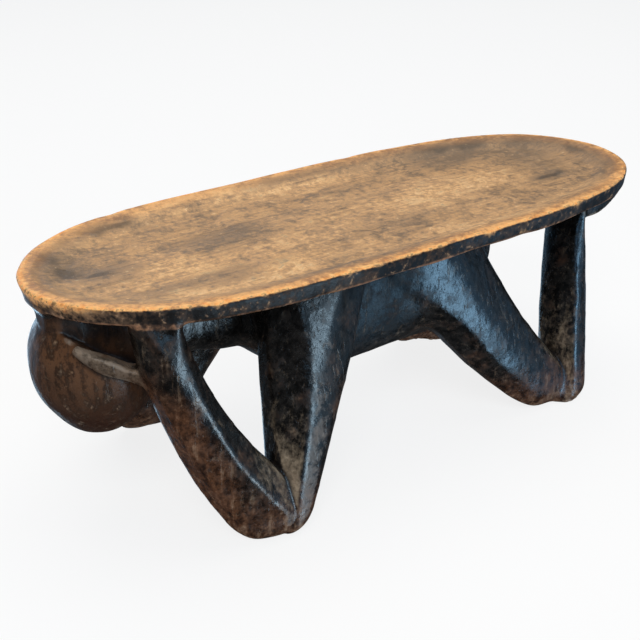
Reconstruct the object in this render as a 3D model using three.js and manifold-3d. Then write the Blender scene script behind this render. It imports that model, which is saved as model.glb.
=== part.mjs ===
// Carved tray bearer figure: a low stool or tray of one block of wood.
// A crouching figure, belly down, carries a long dished tray on its back. Its
// bent arms and legs make four V-shaped supports that stand on the elbows and
// knees. The hands hold the sides of a plain ball head under one end of the
// tray, and the feet lie under the other end.
//
// Millimetres, +Z up, floor at z = 0. +X runs along the tray to the foot end,
// the head is at -X. The origin is on the floor, under the middle of the tray.
import * as THREE from 'three';
import { mergeVertices } from 'three/addons/utils/BufferGeometryUtils.js';
import Module from 'manifold-3d';

// ---- driving dimensions ------------------------------------------------
const LENGTH = 500;            // tray, end to end
const WIDTH = 185;             // tray, side to side
const HEIGHT = 172;            // floor to the top of the rim
const BAND = 12;               // height of the rim's outer edge
const END_POWER = 4.0;         // outline: |x/a|^END_POWER + |y/b|^SIDE_POWER = 1
const SIDE_POWER = 1.95;
const DISH_DEPTH = 7;          // the rim stands this far over the dish floor
const RIM_WIDTH = 9;           // flat-topped part of the rim
const BELLY = 8;               // the underside bulges this far below the band
const TRAY_SIDES = 80;

const TORSO_TOP = HEIGHT - BAND + 3;   // the trunk runs up into the tray
const TORSO_BOTTOM = 67;
const TORSO_HALF_WIDTH = 49;
const NECK_HALF_WIDTH = 22;
const NECK_BOTTOM = 101;
const TRUNK_SIDES = 16;

const HEAD = { x: -210, z: 119, rx: 39.5, ry: 43, down: 51, up: 42 };
// Beside the neck the ball is cut off by a plane that rises to the front, so
// that a gap is left between it and the tray.
const HEAD_CUT = { x: -239.2, z: 146.7, slope: 0.75 };

const LIMB_SIDES = 12;
const LIMB_POWER = 2.4;        // roundness of a limb's section (2 is an ellipse)
const TIP_ROUND = 13;          // rounding of elbows and knees at the floor
const TIP_HEIGHT = 16;
const SOLE_OUT = 9;             // rounding of the sole on its outer side
const SOLE_IN_HEIGHT = 30;     // the inner side is cut back over this height
const SOLE_HALF = 4;           // narrowest half width of the flat sole

// Each bent limb is a V. It is given by the places of its four edges, each at
// three heights, and by the middle and the half depth of its two bars. Values
// of x count outwards from the middle of the tray, values of y from its long
// axis. The limbs are cut by hand, so the two sides differ a little.
//   outer      outer edge of the forearm or shin
//   outerInner the same bar's edge towards the V
//   trunkInner upper arm's or thigh's edge towards the V
//   trunk      the same bar's edge towards the belly
//   soleIn     how far the sole is cut back on the inner side
const EDGE_HEIGHTS = { outer: [10, 80, 150], inner: [40, 90, 140], trunk: [10, 45, 80], y: [0, 70, 150], depth: [10, 70, 150] };
const LIMBS = {
  armNear: { // arm on the -Y side
    dir: -1, side: -1, soleIn: 25,
    outer: [162.2, 195.6, 212.0], outerInner: [124.3, 159.4, 180.7],
    trunkInner: [130.1, 123.7, 112.1], trunk: [106.8, 87.9, 68.8],
    outerY: [80.6, 70.4, 58.6], trunkY: [82.4, 67.2, 38.6],
    outerDepth: [16.7, 20.8, 19.2], trunkDepth: [17.4, 20.6, 26.1],
  },
  armFar: { // arm on the +Y side
    dir: -1, side: 1, soleIn: 25,
    outer: [157.8, 186.0, 215.0], outerInner: [124.3, 158.0, 184.7],
    trunkInner: [129.4, 115.9, 96.7], trunk: [103.3, 79.7, 55.6],
    outerY: [81.2, 68.0, 60.0], trunkY: [78.8, 74.7, 41.4],
    outerDepth: [16.7, 20.8, 19.2], trunkDepth: [17.4, 20.6, 26.1],
  },
  legNear: { // leg on the -Y side
    dir: 1, side: -1, soleIn: 21,
    outer: [173.9, 185.1, 187.0], outerInner: [144.7, 155.3, 174.2],
    trunkInner: [143.3, 105.8, 77.6], trunk: [103.5, 65.7, 35.0],
    outerY: [69.8, 53.1, 32.9], trunkY: [70.4, 52.8, 33.9],
    outerDepth: [21.1, 19.8, 20.4], trunkDepth: [15.0, 24.4, 25.8],
  },
  legFar: { // leg on the +Y side
    dir: 1, side: 1, soleIn: 21,
    outer: [170.4, 187.7, 200.3], outerInner: [140.3, 156.2, 182.7],
    trunkInner: [146.9, 117.3, 90.0], trunk: [98.2, 69.7, 44.7],
    outerY: [61.9, 65.3, 43.9], trunkY: [69.1, 57.8, 36.0],
    outerDepth: [21.1, 19.8, 20.4], trunkDepth: [15.0, 24.4, 25.8],
  },
};
const LIMB_TOP = TORSO_TOP;
const LIMB_INSET = 1.5;        // limbs meet the tray this far inside its outline
const LIMB_SPREAD = 0.5;       // and stand out from there by this much a millimetre down
const LIMB_LEVELS = [0, 1.2, 4, 8, 13, 20, 30, 42, 56, 74, 94, 116, 138, 152, LIMB_TOP];

// ---- helpers -------------------------------------------------------------
const sp = (v, p) => Math.sign(v) * Math.abs(v) ** p;
const lerp = (a, b, t) => a + (b - a) * t;

// A quadratic through three values v at the places k.
function quad(z, k, v) {
  const [a, b, c] = k;
  return v[0] * (z - b) * (z - c) / ((a - b) * (a - c))
    + v[1] * (z - a) * (z - c) / ((b - a) * (b - c))
    + v[2] * (z - a) * (z - b) / ((c - a) * (c - b));
}

// A smooth value through a table of [place, value] pairs.
function table(rows) {
  const xs = rows.map((r) => r[0]);
  const ys = rows.map((r) => r[1]);
  return (x) => {
    if (x <= xs[0]) return ys[0];
    if (x >= xs[xs.length - 1]) return ys[ys.length - 1];
    let i = 0;
    while (x > xs[i + 1]) i += 1;
    const t = (x - xs[i]) / (xs[i + 1] - xs[i]);
    return lerp(ys[i], ys[i + 1], t * t * (3 - 2 * t));
  };
}

// A closed solid through rings of equal length, with a fan over each end.
function loft(rings) {
  const n = rings[0].length;
  const pos = [];
  const idx = [];
  for (const ring of rings) for (const p of ring) pos.push(...p);
  const centre = (ring) => ring.reduce((s, p) => [s[0] + p[0] / n, s[1] + p[1] / n, s[2] + p[2] / n], [0, 0, 0]);
  const first = rings.length * n;
  pos.push(...centre(rings[0]), ...centre(rings[rings.length - 1]));
  for (let r = 0; r < rings.length - 1; r += 1) {
    for (let i = 0; i < n; i += 1) {
      const a = r * n + i;
      const b = r * n + ((i + 1) % n);
      idx.push(a, b, b + n, a, b + n, a + n);
    }
  }
  const last = (rings.length - 1) * n;
  for (let i = 0; i < n; i += 1) {
    const j = (i + 1) % n;
    idx.push(first, j, i, first + 1, last + i, last + j);
  }
  const g = new THREE.BufferGeometry();
  g.setAttribute('position', new THREE.Float32BufferAttribute(pos, 3));
  g.setIndex(idx);
  return outward(g);
}

// Turns the faces round if the solid's volume comes out negative.
function outward(g) {
  const p = g.attributes.position;
  const ix = g.index.array;
  const a = new THREE.Vector3(); const b = new THREE.Vector3(); const c = new THREE.Vector3();
  let volume = 0;
  for (let i = 0; i < ix.length; i += 3) {
    a.fromBufferAttribute(p, ix[i]); b.fromBufferAttribute(p, ix[i + 1]); c.fromBufferAttribute(p, ix[i + 2]);
    volume += a.dot(b.cross(c));
  }
  if (volume < 0) {
    const flipped = [];
    for (let i = 0; i < ix.length; i += 3) flipped.push(ix[i], ix[i + 2], ix[i + 1]);
    g.setIndex(flipped);
  }
  return g;
}

// ---- the tray --------------------------------------------------------------
function trayRing(inset, z) {
  const a = LENGTH / 2 - inset;
  const b = WIDTH / 2 - inset;
  const ring = [];
  for (let i = 0; i < TRAY_SIDES; i += 1) {
    const t = (i / TRAY_SIDES) * Math.PI * 2;
    ring.push([a * sp(Math.cos(t), 2 / END_POWER), b * sp(Math.sin(t), 2 / SIDE_POWER), z]);
  }
  return ring;
}

function tray() {
  const under = HEIGHT - BAND;
  const floor = HEIGHT - DISH_DEPTH;
  return loft([
    trayRing(70, under - BELLY),
    trayRing(40, under - BELLY * 0.8),
    trayRing(16, under - BELLY * 0.35),
    trayRing(2, under),
    trayRing(0, under + 2.5),
    trayRing(0.2, HEIGHT - 2),
    trayRing(1.6, HEIGHT),
    trayRing(RIM_WIDTH, HEIGHT),
    trayRing(RIM_WIDTH + 6, lerp(HEIGHT, floor, 0.62)),
    trayRing(RIM_WIDTH + 15, lerp(HEIGHT, floor, 0.92)),
    trayRing(RIM_WIDTH + 30, floor),
    trayRing(76, floor),
  ]);
}

// ---- the trunk: chest, belly, hips and neck, lengthwise under the tray -------
const halfWidth = table([
  [-243, 9], [-236, 14], [-222, NECK_HALF_WIDTH - 4], [-150, NECK_HALF_WIDTH], [-122, NECK_HALF_WIDTH + 5], [-92, 40],
  [-62, TORSO_HALF_WIDTH], [20, TORSO_HALF_WIDTH - 2], [64, TORSO_HALF_WIDTH], [92, 40], [106, 26],
]);
const bottomZ = table([
  [-243, 143], [-236, 138], [-222, NECK_BOTTOM + 8], [-150, NECK_BOTTOM + 3], [-116, NECK_BOTTOM - 2], [-86, 82],
  [-55, TORSO_BOTTOM], [48, TORSO_BOTTOM], [74, 84], [95, 104], [106, 128],
]);
const TRUNK_STATIONS = [-243, -236, -229, -222, -195, -168, -145, -125, -105, -85, -65, -40, -10, 20, 48, 64, 80, 94, 106];

function trunk() {
  return loft(TRUNK_STATIONS.map((x) => {
    const w = halfWidth(x);
    const lo = bottomZ(x);
    const ring = [];
    for (let i = 0; i < TRUNK_SIDES; i += 1) {
      const t = ((i + 0.5) / TRUNK_SIDES) * Math.PI * 2;
      ring.push([x, w * sp(Math.cos(t), 2 / 2.6), (TORSO_TOP + lo) / 2 + ((TORSO_TOP - lo) / 2) * sp(Math.sin(t), 2 / 2.8)]);
    }
    return ring;
  }));
}

// ---- the limbs -----------------------------------------------------------------
// How far a rounding of the given size draws an edge in at height z.
function drawIn(z, size, height) {
  const k = Math.max(0, 1 - z / height);
  return size * (1 - Math.sqrt(1 - k * k));
}

// One bar of a V: the outer one (forearm or shin) or the one at the trunk
// (upper arm or thigh). Every section is level, so the sole at z = 0 is flat.
function limbBar(limb, isOuter) {
  return loft(LIMB_LEVELS.map((z) => {
    const round = drawIn(z, TIP_ROUND, TIP_HEIGHT);
    const [, mid, top] = limb.trunk;
    const trunk = z <= 80 ? quad(z, EDGE_HEIGHTS.trunk, limb.trunk) : top + ((z - 80) * (top - mid)) / 35;
    const outer = quad(z, EDGE_HEIGHTS.outer, limb.outer);
    let hi; let lo;
    if (isOuter) {
      hi = outer - round;
      lo = quad(z, EDGE_HEIGHTS.inner, limb.outerInner);
      if (z < 60) lo = Math.max(lo, trunk + round);
    } else {
      lo = trunk + round;
      hi = quad(z, EDGE_HEIGHTS.inner, limb.trunkInner);
      if (z < 60) hi = Math.min(hi, outer - round);
    }
    const middle = quad(z, EDGE_HEIGHTS.y, isOuter ? limb.outerY : limb.trunkY);
    const depth = quad(z, EDGE_HEIGHTS.depth, isOuter ? limb.outerDepth : limb.trunkDepth);
    const inside = middle - depth + drawIn(z, limb.soleIn, SOLE_IN_HEIGHT);
    const outside = middle + depth - drawIn(z, SOLE_OUT, TIP_HEIGHT);
    const halfY = Math.max((outside - inside) / 2, SOLE_HALF);
    const y = outside - halfY;
    const ring = [];
    for (let i = 0; i < LIMB_SIDES; i += 1) {
      const t = ((i + 0.5) / LIMB_SIDES) * Math.PI * 2;
      ring.push([limb.dir * ((hi + lo) / 2 + ((hi - lo) / 2) * sp(Math.cos(t), 2 / LIMB_POWER)),
        limb.side * (y + halfY * sp(Math.sin(t), 2 / LIMB_POWER)), z]);
    }
    return ring;
  }));
}

// The space that the limbs may fill: below the tray's outline, and wider lower down.
function limbSpace() {
  const under = HEIGHT - BAND;
  return loft([trayRing(LIMB_INSET - LIMB_SPREAD * under, -1), trayRing(LIMB_INSET, under), trayRing(LIMB_INSET, LIMB_TOP + 1)]);
}

// ---- head, hands and feet ---------------------------------------------------------
// A plain ball, a little longer below its middle than above it.
function head() {
  const g = new THREE.SphereGeometry(1, 24, 16);
  g.rotateX(Math.PI / 2);
  const p = g.attributes.position;
  for (let i = 0; i < p.count; i += 1) {
    const z = p.getZ(i);
    p.setXYZ(i, HEAD.x + HEAD.rx * p.getX(i), HEAD.ry * p.getY(i), HEAD.z + z * (z < 0 ? HEAD.down : HEAD.up));
  }
  return g;
}

// What is cut away above and behind the ball.
function headCut() {
  const at = (x) => HEAD_CUT.z + HEAD_CUT.slope * (HEAD_CUT.x - x);
  const ring = (y) => [[-264, y, at(-264)], [-140, y, at(-140)], [-140, y, 200], [-264, y, 200]];
  return loft([ring(-70), ring(70)]);
}

// A flat bar with rounded edges along a curve through the points given, each
// [x, y, z, half height, half thickness]; thickness is across the curve, level.
function flatBar(points, side, steps) {
  const curve = new THREE.CatmullRomCurve3(points.map((p) => new THREE.Vector3(p[0], side * p[1], p[2])));
  const up = new THREE.Vector3(0, 0, 1);
  const rings = [];
  for (let s = 0; s <= steps; s += 1) {
    const t = s / steps;
    const at = curve.getPoint(t);
    const along = curve.getTangent(t);
    const across = new THREE.Vector3().crossVectors(up, along).normalize();
    const rise = new THREE.Vector3().crossVectors(along, across).normalize();
    const k = t * (points.length - 1);
    const i = Math.min(points.length - 2, Math.floor(k));
    const h = lerp(points[i][3], points[i + 1][3], k - i);
    const w = lerp(points[i][4], points[i + 1][4], k - i);
    const ring = [];
    for (let j = 0; j < 8; j += 1) {
      const q = ((j + 0.5) / 8) * Math.PI * 2;
      const p = at.clone()
        .addScaledVector(across, w * sp(Math.cos(q), 0.8))
        .addScaledVector(rise, h * sp(Math.sin(q), 0.8));
      ring.push([p.x, p.y, p.z]);
    }
    rings.push(ring);
  }
  return loft(rings);
}

// x, distance from the long axis, z, half height, half thickness. The hand on
// the -Y side is one leaf; the other one's thumb lies apart, over its fingers.
const HANDS = {
  near: [[[-192, 60, 122, 7, 8], [-204, 51, 123.5, 4.5, 6.5], [-213, 46, 127, 4, 5.5], [-222, 41.5, 131.5, 5, 5],
    [-230, 36, 136.5, 5.5, 4.5], [-236, 29, 141.5, 4.5, 3.5]]],
  far: [
    [[-190, 60, 134, 8, 9], [-200, 51, 132, 7, 7.5], [-209, 46.5, 130.5, 6, 6], [-217, 43, 130, 4.5, 4.5]],
    [[-190, 57, 140, 8, 9], [-201, 47, 142.5, 5.5, 7], [-210, 41, 144, 4, 5.5], [-218, 37, 145.5, 2.5, 4]],
  ],
};
const footAt = (y) => [
  [186, y, 146, 12, 15], [203, y, 145, 11, 15], [219, y - 1, 146.5, 8, 14],
  [232, y - 2, 148.5, 5, 12], [239, y - 3, 149.5, 3, 9],
];
const FOOT_Y = { near: 33, far: 43 };

// ---- one carved block -------------------------------------------------------------
const wasm = await Module();
wasm.setup();

function solid(geometry) {
  const g = geometry.clone();
  g.deleteAttribute('normal');
  g.deleteAttribute('uv');
  const m = mergeVertices(g, 1e-4);
  return new wasm.Manifold(new wasm.Mesh({
    numProp: 3,
    vertProperties: new Float32Array(m.attributes.position.array),
    triVerts: new Uint32Array(m.index.array),
  }));
}

function geometryOf(manifold) {
  const mesh = manifold.getMesh();
  const g = new THREE.BufferGeometry();
  g.setAttribute('position', new THREE.Float32BufferAttribute(mesh.vertProperties, 3));
  g.setIndex(Array.from(mesh.triVerts));
  g.computeVertexNormals();
  return g;
}

let block = solid(tray()).add(solid(trunk())).add(solid(head()).subtract(solid(headCut())));
const space = solid(limbSpace());
for (const limb of Object.values(LIMBS)) {
  for (const isOuter of [true, false]) block = block.add(solid(limbBar(limb, isOuter)).intersect(space));
}
for (const [name, side] of [['near', -1], ['far', 1]]) {
  for (const part of HANDS[name]) block = block.add(solid(flatBar(part, side, 9)));
  block = block.add(solid(flatBar(footAt(FOOT_Y[name]), side, 8)));
}

const wood = new THREE.MeshStandardMaterial({ color: 0x3a2c24, roughness: 0.55, metalness: 0 });
const figure = new THREE.Mesh(geometryOf(block), wood);
figure.name = 'carved_tray_bearer';

const group = new THREE.Group();
group.add(figure);
export default group;
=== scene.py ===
# Carved tray bearer figure: the looks. One fine mesh of one block of wood, with
# adze facets, worn edges and patina, stands for the faceted solid of the frame.
# The form is repeated here as a field (negative inside, millimetres), which is
# meshed, relaxed onto the field's zero level, and coloured by procedural nodes.
import bpy
import math
import numpy as np
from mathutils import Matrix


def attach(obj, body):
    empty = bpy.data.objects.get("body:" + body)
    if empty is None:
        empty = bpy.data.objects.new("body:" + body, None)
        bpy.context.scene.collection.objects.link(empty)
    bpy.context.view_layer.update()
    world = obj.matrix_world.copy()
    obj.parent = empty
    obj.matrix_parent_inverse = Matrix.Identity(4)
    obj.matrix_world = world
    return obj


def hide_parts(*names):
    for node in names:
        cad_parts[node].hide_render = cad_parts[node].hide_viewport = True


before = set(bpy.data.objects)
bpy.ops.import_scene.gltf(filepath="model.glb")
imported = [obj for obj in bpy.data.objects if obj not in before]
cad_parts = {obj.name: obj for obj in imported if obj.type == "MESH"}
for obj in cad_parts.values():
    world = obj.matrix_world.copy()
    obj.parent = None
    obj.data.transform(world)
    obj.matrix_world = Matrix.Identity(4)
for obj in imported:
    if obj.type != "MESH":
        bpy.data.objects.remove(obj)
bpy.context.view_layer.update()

# ---------------------------------------------------------------- dimensions (mm)
LENGTH, WIDTH, HEIGHT, BAND = 500.0, 185.0, 172.0, 12.0
END_POWER, SIDE_POWER = 4.0, 1.95
DISH_FLOOR = 165.0
TOP = 163.0                      # limbs and trunk run up into the tray
LIMB_POWER = 2.4

HALF_WIDTH = ([-243, -236, -222, -150, -122, -92, -62, 20, 64, 92, 106], [9, 14, 18, 22, 27, 40, 49, 47, 49, 40, 26])
BOTTOM_Z = ([-243, -236, -222, -150, -116, -86, -55, 48, 74, 95, 106],
            [143, 138, 109, 104, 99, 82, 67, 67, 84, 104, 128])
HEAD = dict(x=-210.0, z=119.0, rx=39.5, ry=43.0, down=51.0, up=42.0)
HEAD_CUT = (-239.2, 146.7, 0.75)    # a plane through this x and z, rising to the front
LIMB_INSET, LIMB_SPREAD = 1.5, 0.5

# Edges of the bent limbs, each at three heights, and below them the ridges that
# the adze left: places round the section, in degrees, at z = 10, 80 and 150.
# 0 looks outwards along the tray (outer bar) or towards the V (trunk bar), 90
# looks outwards across the tray.
LIMBS = {
    "arm_near": dict(
        dir=-1, side=-1, sole_in=25,
        outer=(162.2, 195.6, 212.0), outer_inner=(124.3, 159.4, 180.7),
        trunk_inner=(130.1, 123.7, 112.1), trunk=(106.8, 87.9, 68.8),
        outer_y=(80.6, 70.4, 58.6), trunk_y=(82.4, 67.2, 38.6),
        outer_depth=(16.7, 20.8, 19.2), trunk_depth=(17.4, 20.6, 26.1),
        outer_ridges=[(-12, -10, -20), (48, 44, 8), (83, 79, 66), (106, 106, 112), (146, 148, 150),
                      (185, 186, 188), (225, 225, 225), (262, 262, 262), (302, 302, 300)],
        trunk_ridges=[(-22, -24, -28), (24, 17, 9), (51, 68, 54), (70, 76, 84), (100, 119, 142),
                      (158, 162, 172), (205, 205, 208), (250, 250, 250), (295, 295, 292)]),
    "arm_far": dict(
        dir=-1, side=1, sole_in=25,
        outer=(157.8, 186.0, 215.0), outer_inner=(124.3, 158.0, 184.7),
        trunk_inner=(129.4, 115.9, 96.7), trunk=(103.3, 79.7, 55.6),
        outer_y=(81.2, 68.0, 60.0), trunk_y=(78.8, 74.7, 41.4),
        outer_depth=(16.7, 20.8, 19.2), trunk_depth=(17.4, 20.6, 26.1),
        outer_ridges=[(-20, -18, -18), (20, 20, 22), (58, 60, 66), (88, 108, 150), (150, 168, 184),
                      (195, 205, 215), (230, 236, 240), (265, 268, 268), (302, 302, 300)],
        trunk_ridges=[(-25, -24, -22), (10, 12, 12), (42, 49, 47), (60, 73, 66), (108, 115, 120),
                      (158, 160, 165), (205, 205, 205), (250, 250, 250), (295, 295, 292)]),
    "leg_near": dict(
        dir=1, side=-1, sole_in=21,
        outer=(173.9, 185.1, 187.0), outer_inner=(144.7, 155.3, 174.2),
        trunk_inner=(143.3, 105.8, 77.6), trunk=(103.5, 65.7, 35.0),
        outer_y=(69.8, 53.1, 32.9), trunk_y=(70.4, 52.8, 33.9),
        outer_depth=(21.1, 19.8, 20.4), trunk_depth=(15.0, 24.4, 25.8),
        outer_ridges=[(-22, -20, -20), (24, 26, 30), (72, 70, 84), (124, 115, 150), (165, 168, 190),
                      (208, 210, 222), (255, 255, 258), (300, 300, 300)],
        trunk_ridges=[(-25, -24, -22), (6, 6, 8), (45, 42, 40), (84, 85, 83), (97, 104, 97),
                      (112, 121, 146), (160, 165, 178), (208, 208, 210), (252, 252, 252), (298, 298, 296)]),
    "leg_far": dict(
        dir=1, side=1, sole_in=21,
        outer=(170.4, 187.7, 200.3), outer_inner=(140.3, 156.2, 182.7),
        trunk_inner=(146.9, 117.3, 90.0), trunk=(98.2, 69.7, 44.7),
        outer_y=(61.9, 65.3, 43.9), trunk_y=(69.1, 57.8, 36.0),
        outer_depth=(21.1, 19.8, 20.4), trunk_depth=(15.0, 24.4, 25.8),
        outer_ridges=[(-22, -20, -20), (24, 26, 30), (72, 74, 92), (126, 117, 150), (158, 163, 192),
                      (205, 208, 226), (250, 252, 258), (300, 300, 300)],
        trunk_ridges=[(-24, -22, -20), (10, 10, 12), (48, 48, 46), (86, 88, 88), (116, 118, 125),
                      (160, 162, 168), (206, 206, 206), (250, 250, 250), (296, 296, 296)]),
}
# Facets that the adze laid flatter: which one, and by how many degrees its plane
# is turned, at z = 10, 80 and 150 (towards the larger angles of the section),
# and how far out it then lies at those heights, mm.
TURNS = {
    ("arm_near", True): {2: (-20, -24, 2, 0.3, 0.3, 0.0)},
    ("arm_near", False): {2: (20, 9, -3, 1.2, 1.0, -0.3), 3: (9, 9, 8, 0, 0, 0)},
    ("arm_far", True): {2: (-14, -14, 0, 0.3, 0.3, 0.0), 3: (6, 6, 6, 0.4, 0.4, 0.4)},
    ("arm_far", False): {2: (6, 4, 0, 0.8, 0.5, 0.0), 3: (8, 8, 8, 0, 0, 0)},
    ("leg_near", True): {2: (-14, -14, -12, 0, 0, 0)},
    ("leg_near", False): {3: (5, 5, 9, 0.2, 0.1, 0), 4: (0, 3, 6, 0, 0, 0)},
    ("leg_far", True): {2: (-10, -10, -8, 0, 0, 0)},
    ("leg_far", False): {3: (4, 4, 6, 0.3, 0.2, 0), 2: (-4, -4, -3, 0, 0, 0)},
}
# how far the ridge lines of a limb are worn round, mm
ROUNDS = {("arm_near", True): 1.0, ("arm_near", False): 1.1, ("arm_far", True): 1.0, ("arm_far", False): 1.1,
          ("leg_near", True): 2.0, ("leg_near", False): 1.3, ("leg_far", True): 1.8, ("leg_far", False): 1.3}
# x, distance from the long axis, z, half height, half thickness
HANDS = {
    "arm_near": [[(-192, 60, 122, 7, 8), (-204, 51, 123.5, 4.5, 6.5), (-213, 46, 127, 4, 5.5), (-222, 41.5, 131.5, 5, 5),
                  (-230, 36, 136.5, 4.0, 3.8), (-236, 29, 141.0, 2.4, 2.6)]],
    "arm_far": [[(-190, 60, 134, 8, 9), (-200, 51, 132, 7, 7.5), (-209, 46.5, 130.5, 6, 6), (-217, 43, 130, 4.5, 4.5)],
                [(-190, 57, 140, 8, 9), (-201, 47, 142.5, 5.5, 7), (-210, 41, 144, 4, 5.5), (-218, 37, 145.5, 2.5, 4)]],
}


def foot_at(y):
    return [(186, y, 146, 12, 15), (203, y, 145, 11, 15), (219, y - 1, 146.5, 8, 14),
            (232, y - 2, 148.5, 5, 12), (239, y - 3, 149.5, 3, 9)]


FOOT_NEAR, FOOT_FAR = foot_at(33), foot_at(43)


# ---------------------------------------------------------------- field helpers
def smin(a, b, k):
    h = np.maximum(k - np.abs(a - b), 0.0) / k
    return np.minimum(a, b) - h * h * k * 0.25


def smax(a, b, k):
    return -smin(-a, -b, k)


def smoothstep(x, a, b):
    t = np.clip((x - a) / (b - a), 0.0, 1.0)
    return t * t * (3.0 - 2.0 * t)


def quad(z, k, v):
    a, b, c = k
    return (v[0] * (z - b) * (z - c) / ((a - b) * (a - c)) + v[1] * (z - a) * (z - c) / ((b - a) * (b - c))
            + v[2] * (z - a) * (z - b) / ((c - a) * (c - b)))


def draw_in(z, size, height):
    k = np.clip(1.0 - z / height, 0.0, 1.0)
    return size * (1.0 - np.sqrt(1.0 - k * k))


def smooth_table(xs, ys):
    xs, ys = np.array(xs, float), np.array(ys, float)

    def at(x):
        x = np.clip(x, xs[0], xs[-1])
        i = np.clip(np.searchsorted(xs, x) - 1, 0, len(xs) - 2)
        t = (x - xs[i]) / (xs[i + 1] - xs[i])
        return ys[i] + (ys[i + 1] - ys[i]) * t * t * (3 - 2 * t)
    return at


def waves(p, length, seed, n=7):
    """A smooth wobble between about -1 and 1, with bumps about length mm across."""
    rng = np.random.default_rng(seed)
    out = np.zeros(len(p))
    for _ in range(n):
        d = rng.normal(size=3)
        d *= rng.uniform(0.7, 1.5) / np.linalg.norm(d)
        out += np.sin(p @ d * (math.pi / length) + rng.uniform(0, 2 * math.pi))
    return out / math.sqrt(n) / 1.25


# ---------------------------------------------------------------- limbs
LEVELS = np.arange(-8.0, 172.01, 0.5)
ROUND = 0.55                     # how far the ridges are rounded over


def section(limb, outer_bar, z):
    z = np.clip(z, 0.0, TOP)
    rnd = draw_in(z, 13.0, 16.0)
    t = limb["trunk"]
    trunk = np.where(z <= 80, quad(z, (10, 45, 80), t), t[2] + (z - 80) * (t[2] - t[1]) / 35)
    outer = quad(z, (10, 80, 150), limb["outer"])
    if outer_bar:
        hi = outer - rnd
        lo = quad(z, (40, 90, 140), limb["outer_inner"])
        lo = np.where(z < 60, np.maximum(lo, trunk + rnd), lo)
    else:
        lo = trunk + rnd
        hi = quad(z, (40, 90, 140), limb["trunk_inner"])
        hi = np.where(z < 60, np.minimum(hi, outer - rnd), hi)
    mid = quad(z, (0, 70, 150), limb["outer_y" if outer_bar else "trunk_y"])
    depth = quad(z, (10, 70, 150), limb["outer_depth" if outer_bar else "trunk_depth"])
    inside = mid - depth + draw_in(z, limb["sole_in"], 30.0)
    outside = mid + depth - draw_in(z, 9.0, 16.0)
    half_y = np.maximum((outside - inside) / 2, 4.0)
    return (hi + lo) / 2, (hi - lo) / 2, outside - half_y, half_y


class Bar:
    """One bar of a bent limb: flat facets between ridges, cut in short strokes."""

    def __init__(self, name, limb, outer_bar, seed):
        rng = np.random.default_rng(seed)
        self.round = ROUNDS[name, outer_bar]
        self.limb = limb
        z = np.clip(LEVELS, 0.0, TOP)
        c, a, yc, b = section(limb, outer_bar, z)
        ridges = limb["outer_ridges" if outer_bar else "trunk_ridges"]
        ang = np.radians(np.stack([np.interp(z, (10, 80, 150), r) for r in ridges], 1))
        ang = ang + 0.03 * np.sin(z[:, None] / rng.uniform(9, 17, len(ridges)) + rng.uniform(0, 6, len(ridges)))
        rad = (np.abs(np.cos(ang)) ** LIMB_POWER + np.abs(np.sin(ang)) ** LIMB_POWER) ** (-1 / LIMB_POWER) * 1.035
        px = c[:, None] + a[:, None] * rad * np.cos(ang)
        py = yc[:, None] + b[:, None] * rad * np.sin(ang)
        ex, ey = np.roll(px, -1, 1) - px, np.roll(py, -1, 1) - py
        ln = np.hypot(ex, ey)
        self.nx, self.ny = ey / ln, -ex / ln
        mx, my = (np.roll(px, -1, 1) + px) / 2, (np.roll(py, -1, 1) + py) / 2
        for k, by in TURNS[name, outer_bar].items():
            a2 = np.radians(np.interp(z, (10, 80, 150), by[:3]))
            c2, s2 = np.cos(a2), np.sin(a2)
            self.nx[:, k], self.ny[:, k] = (c2 * self.nx[:, k] - s2 * self.ny[:, k],
                                            s2 * self.nx[:, k] + c2 * self.ny[:, k])
        d = self.nx * mx + self.ny * my
        for k, by in TURNS[name, outer_bar].items():
            d[:, k] += np.interp(z, (10, 80, 150), by[3:])
        # strokes of the adze: shallow hollows, one after the other, along each facet
        for k in range(len(ridges)):
            t = z / rng.uniform(17, 27) + rng.uniform(0, 1) + 0.22 * np.sin(z / rng.uniform(12, 20) + rng.uniform(0, 6))
            hollow = 1.0 - (2.0 * (t - np.floor(t)) - 1.0) ** 2
            strength = rng.uniform(0.16, 0.36) * smoothstep(z, 2, 22)
            tilt = (t - np.floor(t) - 0.5) * rng.uniform(-0.30, 0.30)
            d[:, k] -= strength * (hollow - 0.6) + tilt * smoothstep(z, 2, 22)
        self.d = d
        self.lo = np.array([(c - a).min() - 2, (yc - b).min() - 2, -7.0])
        self.hi = np.array([(c + a).max() + 2, (yc + b).max() + 2, TOP])
        if limb["dir"] < 0:
            self.lo[0], self.hi[0] = -self.hi[0], -self.lo[0]
        if limb["side"] < 0:
            self.lo[1], self.hi[1] = -self.hi[1], -self.lo[1]

    def level(self, u, v, z):
        t = (np.clip(z, LEVELS[0], LEVELS[-1] - 0.01) - LEVELS[0]) / 0.5
        i = t.astype(int)
        w = (t - i)[:, None]
        nx = self.nx[i] * (1 - w) + self.nx[i + 1] * w
        ny = self.ny[i] * (1 - w) + self.ny[i + 1] * w
        d = self.d[i] * (1 - w) + self.d[i + 1] * w
        f = nx * u[:, None] + ny * v[:, None] - d
        m = f.max(1)
        return m + np.log(np.exp((f - m[:, None]) / self.round).sum(1)) * self.round

    def __call__(self, p):
        u, v, z = p[:, 0] * self.limb["dir"], p[:, 1] * self.limb["side"], p[:, 2]
        f = self.level(u, v, z)
        slope = (self.level(u, v, z + 0.8) - self.level(u, v, z - 0.8)) / 1.6
        return np.maximum(f / np.sqrt(1.0 + np.minimum(slope * slope, 4.0)), z - TOP)


# ---------------------------------------------------------------- trunk and head
half_width = smooth_table(*HALF_WIDTH)
bottom_z = smooth_table(*BOTTOM_Z)


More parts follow.
